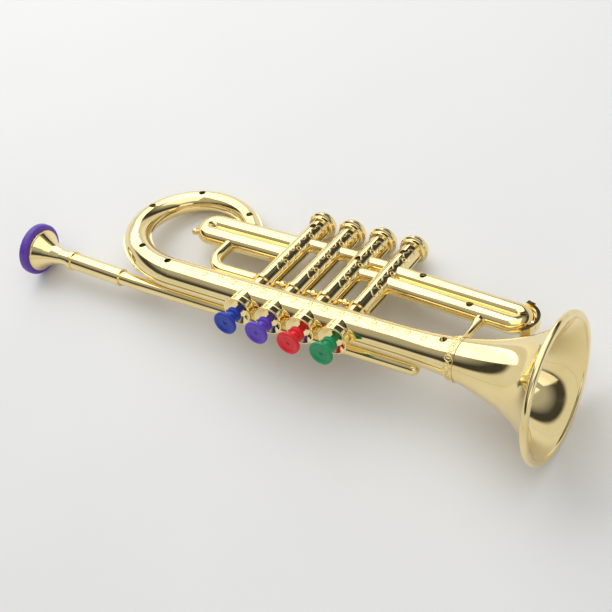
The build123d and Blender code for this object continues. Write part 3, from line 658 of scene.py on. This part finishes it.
def make_mouthpiece():
    piece("lip_ring", leaned_mesh(ring_outline()), "ring_plastic", "mouthpiece",
          ["mouthpiece_ring"])
    piece("cup_skin", leaned_mesh(cup_outline()), "gold_plate", "mouthpiece", ["mouthpiece_cup"])


# ---- stage, light and camera, in metres ----

BACKDROP = (0.74, 0.74, 0.73)
FLOOR_HALF, FLOOR_CELLS, FADE_FROM, FADE_TO = 3.0, 24, 0.5, 1.7
# The sky over the height of its direction: pale low down, dark above that, grey overhead.
SKY = [(0.0, BACKDROP), (0.225, BACKDROP), (0.31, 0.05), (0.47, 0.05), (0.68, 0.42), (1.0, 0.50)]
MIDDLE = (cad_box[0] + cad_box[1]) / 2


def fade_far_off(tree, paper):
    """Fades the floor far off to the plain backdrop, where it is seen and where it is reflected."""
    where, reach = tree.nodes.new("ShaderNodeTexCoord"), tree.nodes.new("ShaderNodeVectorMath")
    reach.operation = "LENGTH"
    tree.links.new(where.outputs["Object"], reach.inputs[0])
    far = tree.nodes.new("ShaderNodeMapRange")
    far.inputs["From Min"].default_value = FADE_FROM
    far.inputs["From Max"].default_value = FADE_TO
    tree.links.new(reach.outputs["Value"], far.inputs["Value"])
    rays = tree.nodes.new("ShaderNodeLightPath").outputs
    shown = maths(tree, "MAXIMUM", rays["Is Camera Ray"], rays["Is Glossy Ray"])
    shown = maths(tree, "MAXIMUM", shown, rays["Is Transmission Ray"])
    plain, blend = tree.nodes.new("ShaderNodeEmission"), tree.nodes.new("ShaderNodeMixShader")
    plain.inputs["Color"].default_value = (*BACKDROP, 1.0)
    tree.links.new(maths(tree, "MULTIPLY", far.outputs["Result"], shown), blend.inputs[0])
    tree.links.new(paper.outputs[0], blend.inputs[1])
    tree.links.new(plain.outputs[0], blend.inputs[2])
    tree.links.new(blend.outputs[0], tree.nodes["Material Output"].inputs["Surface"])


def make_floor():
    """A pale paper floor at the trumpet's lowest point."""
    places, row = np.linspace(-FLOOR_HALF, FLOOR_HALF, FLOOR_CELLS + 1), FLOOR_CELLS + 1
    grid = [(x, y, cad_box[0].z) for y in places for x in places]
    faces = [(j * row + i, j * row + i + 1, (j + 1) * row + i + 1, (j + 1) * row + i)
             for j in range(FLOOR_CELLS) for i in range(FLOOR_CELLS)]
    mesh = bpy.data.meshes.new("floor")
    mesh.from_pydata(grid, [], faces)
    made = bpy.data.objects.new("floor", mesh)
    bpy.context.scene.collection.objects.link(made)
    skin, tree, out = shader("floor_paper")
    dark, light = (0.85, 0.85, 0.84), (0.87, 0.87, 0.86)
    tree.links.new(ramp(tree, noise(tree, 6.0, 3.0), [(0.3, dark), (0.7, light)]),
                   out.inputs["Base Color"])
    out.inputs["Roughness"].default_value = 0.85
    fade_far_off(tree, out)
    mesh.materials.append(skin)


def softbox(name, place, width, height, power):
    """A soft box that looks at the middle of the trumpet."""
    lamp = bpy.data.lights.new(name, "AREA")
    lamp.shape, lamp.size, lamp.size_y, lamp.energy = "RECTANGLE", width, height, power
    made = bpy.data.objects.new(name, lamp)
    made.location = place
    made.rotation_mode = "QUATERNION"
    made.rotation_quaternion = (MIDDLE - place).to_track_quat("-Z", "Y")
    bpy.context.scene.collection.objects.link(made)


def toward(x, y, z, distance):
    """A place at a distance from the middle of the trumpet, in a direction in its axes."""
    return MIDDLE + direction((x, y, z)).normalized() * distance


def make_light():
    """A plain studio: a world of soft greys and three soft boxes."""
    world = bpy.data.worlds.new("studio")
    bpy.context.scene.world = world
    world.use_nodes = True
    tree = world.node_tree
    where, split = tree.nodes.new("ShaderNodeTexCoord"), tree.nodes.new("ShaderNodeSeparateXYZ")
    tree.links.new(where.outputs["Generated"], split.inputs["Vector"])
    tree.links.new(ramp(tree, split.outputs["Z"], SKY), tree.nodes["Background"].inputs["Color"])
    key, fill = toward(-0.55, 0.22, 0.80, distance=1.25), toward(0.75, -0.75, 0.25, distance=1.3)
    overhead = MIDDLE + Vector((0.25, 0.15, 1.25))
    softbox("key_box", key, width=1.5, height=1.5, power=11.6)
    softbox("fill_box", fill, width=0.8, height=0.5, power=1.2)
    softbox("top_box", overhead, width=1.6, height=1.2, power=5.2)


def make_camera():
    """The photograph's view. Its place (mm) and directions are in the trumpet's axes."""
    place, lens_length, sensor_width = (559.13, -460.27, 439.28), 74.24, 36.0
    right, back = direction((0.8412, 0.5297, -0.1087)), direction((0.4799, -0.6386, 0.6015))
    lens = bpy.data.cameras.new("photo_view")
    lens.sensor_width, lens.lens = sensor_width, lens_length
    lens.clip_start, lens.clip_end = 0.02, 50.0
    made = bpy.data.objects.new("photo_view", lens)
    turn = Matrix((right, back.cross(right), back)).transposed().to_4x4()
    made.matrix_world = Matrix.Translation(to_frame([place])[0]) @ turn
    scene = bpy.context.scene
    scene.collection.objects.link(made)
    scene.camera = made
    scene.view_settings.view_transform = "Standard"


dress_cad()
make_bell()
make_ferrule()
make_scroll()
make_valves()
make_screws()
make_mouthpiece()
make_floor()
make_light()
make_camera()
